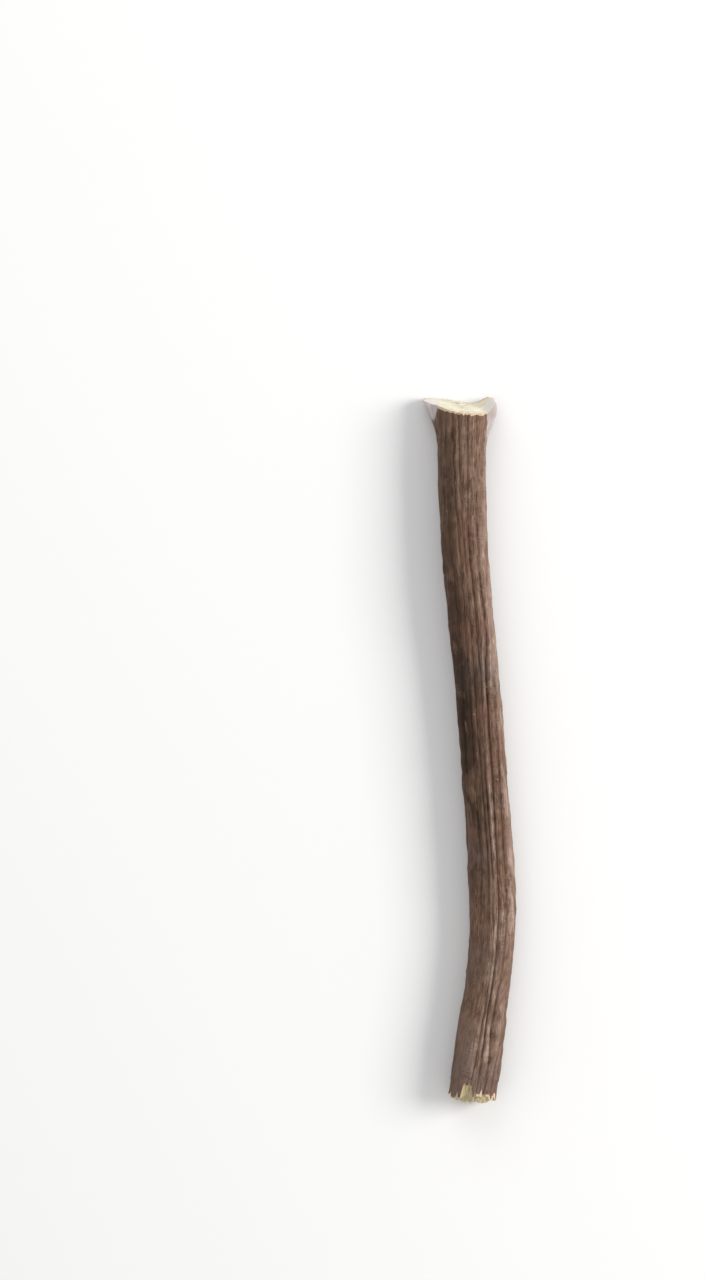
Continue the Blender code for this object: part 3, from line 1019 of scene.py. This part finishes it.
def bark_cracks(tree, place, long_grain, patches, broad, mottled):
    """Splits along the bark, and short ticks across it where it is brittle."""
    splits = thin_lines(tree, grain_of(tree, long_grain, place, SPLIT_GRAIN))
    splits = calculate(tree, "MULTIPLY", splits, stretch(tree, mottled, *SPLIT_FADE))
    ticks = thin_lines(tree, grain_of(tree, long_grain, place, TICK_GRAIN))
    ticks = calculate(tree, "MULTIPLY", ticks, stretch(tree, broad, *TICK_FADE))
    brittle = patches_of(tree, patches, place, BRITTLE_PATCHES)
    return calculate(tree, "MAXIMUM", splits, calculate(tree, "MULTIPLY", ticks, brittle))


def bare_bark(tree, colour, mask, fine, broad):
    """The bark's colour with its torn edges and the painted glare on its corners laid over it."""
    weight, level = TORN_BREAK
    torn = weighted_sum(tree, (mask["torn"], 1.0), (fine, weight), (1.0, level))
    torn_colour = mix_colours(tree, fine, TORN_DARK, TORN_PALE)
    colour = mix_colours(tree, stretch(tree, torn, *TORN_STEP), colour, torn_colour)
    weight, level = GLARE_BREAK
    rubbed = weighted_sum(tree, (mask["rubbed"], 1.0), (fine, weight), (broad, weight), (1.0, level))
    share = weighted_sum(tree, *zip((fine, broad), GLARE_MIX))
    glare_colour = mix_colours(tree, share, GLARE_OVER_BARK_DARK, GLARE_OVER_BARK_PALE)
    colour = mix_colours(tree, stretch(tree, rubbed, *GLARE_STEP), colour, glare_colour)
    return mix_colours(tree, stretch(tree, rubbed, *GLARE_TO_PALEST), colour, GLARE_PALEST)


def bark_material(long_grain, patches):
    """Dry brown bark: dark in the furrows, paler on the crests, streaked and cracked along the root, with a
    painted highlight on its lit flank, painted shade on the left flank and a painted glare on the crown's
    corners.
    """
    material, tree, shader = new_material("ridged dry bark")
    place = attribute(tree, "grain_place", "Vector")
    names = ("crest", "rough", "flaked", "worn", "worn_ridge", "stained", "scarred", "torn", "rubbed")
    mask = {name: attribute(tree, name, "Fac") for name in names}
    grains = [grain_of(tree, long_grain, place, g) for g in (FINE_GRAIN, BROAD_GRAIN, MOTTLED_GRAIN)]
    fine, broad, mottled = grains
    colour = colour_ramp(tree, bark_tone(tree, mask, grains), BARK_TONES)
    inner = mix_colours(tree, fine, INNER_BARK_DARK, INNER_BARK_PALE)
    colour = tint(tree, colour, mask["flaked"], FLAKED_STRENGTH, inner)
    colour = tint(tree, colour, patches_of(tree, patches, place, RED_PATCHES), RED_STRENGTH, RED_BARK)
    colour = tint(tree, colour, patches_of(tree, patches, place, GREY_PATCHES), GREY_STRENGTH, GREY_BLOOM)
    cracks = bark_cracks(tree, place, long_grain, patches, broad, mottled)
    dark = calculate(tree, "MAXIMUM", cracks, mask["scarred"])
    colour = tint(tree, colour, dark, CRACK_STRENGTH, BARK_CRACK)
    colour = bare_bark(tree, colour, mask, fine, broad)
    finish_surface(tree, shader, colour, fine, BARK_ROUGHNESS)
    grit = noise_texture(tree, place, GRIT_SCALE, detail=3.0)
    relief = weighted_sum(tree, *zip((fine, grit, cracks), BARK_RELIEF))
    raise_surface(tree, shader, relief, BARK_RELIEF_HEIGHT)
    shader.inputs["Specular IOR Level"].default_value = BARK_SHINE
    return material


def wood_cracks(tree, spoke, radius, blotches):
    """Cracks that run out from the wood's middle, and the checks in the crown's face."""
    cracks = stretch(tree, noise_texture(tree, spoke, WOOD_CRACK_SCALE, detail=1.0), *WOOD_CRACK_STEP)
    cracks = calculate(tree, "MULTIPLY", cracks, stretch(tree, radius, *WOOD_CRACK_REACH))
    checked = weighted_sum(tree, (attribute(tree, "checked", "Fac"), 1.0), (blotches, CHECK_BREAK))
    return calculate(tree, "MAXIMUM", cracks, stretch(tree, checked, *CHECK_STEP))


def wood_material(long_grain, patches):
    """The pale wood of the sawn and the broken face: rays and a ring across it, fibres along it."""
    material, tree, shader = new_material("pale cut wood")
    place = attribute(tree, "grain_place", "Vector")
    flat = vector_outputs(tree, "MULTIPLY", place, (1.0, 1.0, 0.0))[0]
    radius = calculate(tree, "DIVIDE", vector_outputs(tree, "LENGTH", flat)["Value"], GRAIN_RADIUS)
    spoke = vector_outputs(tree, "NORMALIZE", flat)[0]
    rays = stretch(tree, noise_texture(tree, spoke, RAY_SCALE, detail=3.0), *RAY_CONTRAST)
    fibres = grain_of(tree, long_grain, place, WOOD_GRAIN)
    blotches = patches_of(tree, patches, place, WOOD_BLOTCHES)
    ringed = weighted_sum(tree, (radius, 1.0), *zip((fibres, rays), RING_WOBBLE))
    colour = colour_ramp(tree, ringed, WOOD_RINGS)
    colour = tint(tree, colour, rays, RAY_STRENGTH, WOOD_RAY)
    colour = tint(tree, colour, blotches, BLOTCH_STRENGTH, WOOD_BLOTCH)
    cracks = wood_cracks(tree, spoke, radius, blotches)
    colour = tint(tree, colour, cracks, WOOD_CRACK_STRENGTH, CRACK)
    along = add_node(tree, "ShaderNodeSeparateXYZ", {0: place}).outputs["Z"]
    broken = mix_colours(tree, fibres, BROKEN_DARK, BROKEN_PALE)
    colour = tint(tree, colour, stretch(tree, along, *BROKEN_FROM), BROKEN_STRENGTH, broken)
    # The painted glare on the crown's corners covers the sawn face too.
    colour = mix_colours(tree, attribute(tree, "rubbed", "Fac"), colour, GLARE_PALEST)
    finish_surface(tree, shader, colour, fibres, WOOD_ROUGHNESS)
    relief = weighted_sum(tree, *zip((fibres, rays, cracks), WOOD_RELIEF))
    raise_surface(tree, shader, relief, WOOD_RELIEF_HEIGHT)
    return material


def splinter_material(long_grain):
    """Torn wood fibres, yellower than the cut wood."""
    material, tree, shader = new_material("torn wood fibres")
    place = attribute(tree, "grain_place", "Vector")
    fibres = grain_of(tree, long_grain, place, SPLINTER_GRAIN)
    colour = mix_colours(tree, fibres, SPLINTER_DARK, SPLINTER_PALE)
    finish_surface(tree, shader, colour, fibres, SPLINTER_ROUGHNESS)
    raise_surface(tree, shader, fibres, SPLINTER_RELIEF_HEIGHT)
    return material


def welt_material(patches):
    """The corky stuff of a lenticel."""
    material, tree, shader = new_material("corky lenticel")
    place = attribute(tree, "grain_place", "Vector")
    spots = patches_of(tree, patches, place, CORKY_SPOTS)
    colour = mix_colours(tree, spots, WELT_DARK, WELT_PALE)
    finish_surface(tree, shader, colour, spots, WELT_ROUGHNESS)
    raise_surface(tree, shader, spots, WELT_RELIEF_HEIGHT)
    return material


def floor_material():
    """A pale, matt surface with hardly any tone of its own."""
    material, tree, shader = new_material("pale floor")
    place = add_node(tree, "ShaderNodeTexCoord").outputs["Object"]
    cloud = noise_texture(tree, place, FLOOR_CLOUD_SCALE, detail=2.0)
    tree.links.new(mix_colours(tree, cloud, FLOOR_PALE, FLOOR_PALER), shader.inputs["Base Color"])
    shader.inputs["Roughness"].default_value = FLOOR_ROUGHNESS
    shader.inputs["Specular IOR Level"].default_value = FLOOR_SHINE
    return material


def make_floor():
    """The surface that the root lies on."""
    bm = bmesh.new()
    bmesh.ops.create_grid(bm, x_segments=1, y_segments=1, size=FLOOR_HALF)
    floor = piece_of(bm, "floor", floor_material())


def add_light(name, place, size, power, colour):
    """A soft square light aimed at the root's middle."""
    light = bpy.data.lights.new(name, "AREA")
    light.size, light.energy, light.color = size, power, colour
    holder = bpy.data.objects.new(name, light)
    holder.location = place
    holder.rotation_euler = (-Vector(place)).to_track_quat("-Z", "Y").to_euler()
    bpy.context.scene.collection.objects.link(holder)


def light_studio():
    """A key light from the right, a weak one from the crown end, and pale surroundings."""
    add_light("key", *KEY_LIGHT)
    add_light("rim", *RIM_LIGHT)
    world = bpy.data.worlds.new("pale studio")
    world.use_nodes = True
    background = world.node_tree.nodes["Background"]
    background.inputs["Color"].default_value = SURROUNDINGS
    background.inputs["Strength"].default_value = SURROUNDINGS_STRENGTH
    bpy.context.scene.world = world


def place_camera():
    """The camera looks straight down, with the root's crown at the top of its picture."""
    camera = bpy.data.cameras.new("camera")
    camera.lens, camera.sensor_width = LENS, SENSOR
    holder = bpy.data.objects.new("camera", camera)
    holder.location = (VIEW_MIDDLE.x, VIEW_MIDDLE.y, VIEW_LEVEL + VIEW_HEIGHT * LENS / SENSOR)
    bpy.context.scene.collection.objects.link(holder)
    bpy.context.scene.camera = holder
    bpy.context.scene.view_settings.view_transform = "Standard"


def dress_root():
    """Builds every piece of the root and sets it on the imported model's body."""
    long_grain, patches = long_grain_group(), patches_group()
    bark, wood = bark_material(long_grain, patches), wood_material(long_grain, patches)
    root, shift = make_root(bark, wood)
    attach(root, "root")
    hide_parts("licorice_root")
    scales = make_scales(bark, shift)
    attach(scales, "root")
    lenticels = make_lenticels(welt_material(patches), shift)
    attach(lenticels, "root")
    splinters = make_splinters(splinter_material(long_grain), shift)
    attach(splinters, "root")


dress_root()
make_floor()
light_studio()
place_camera()
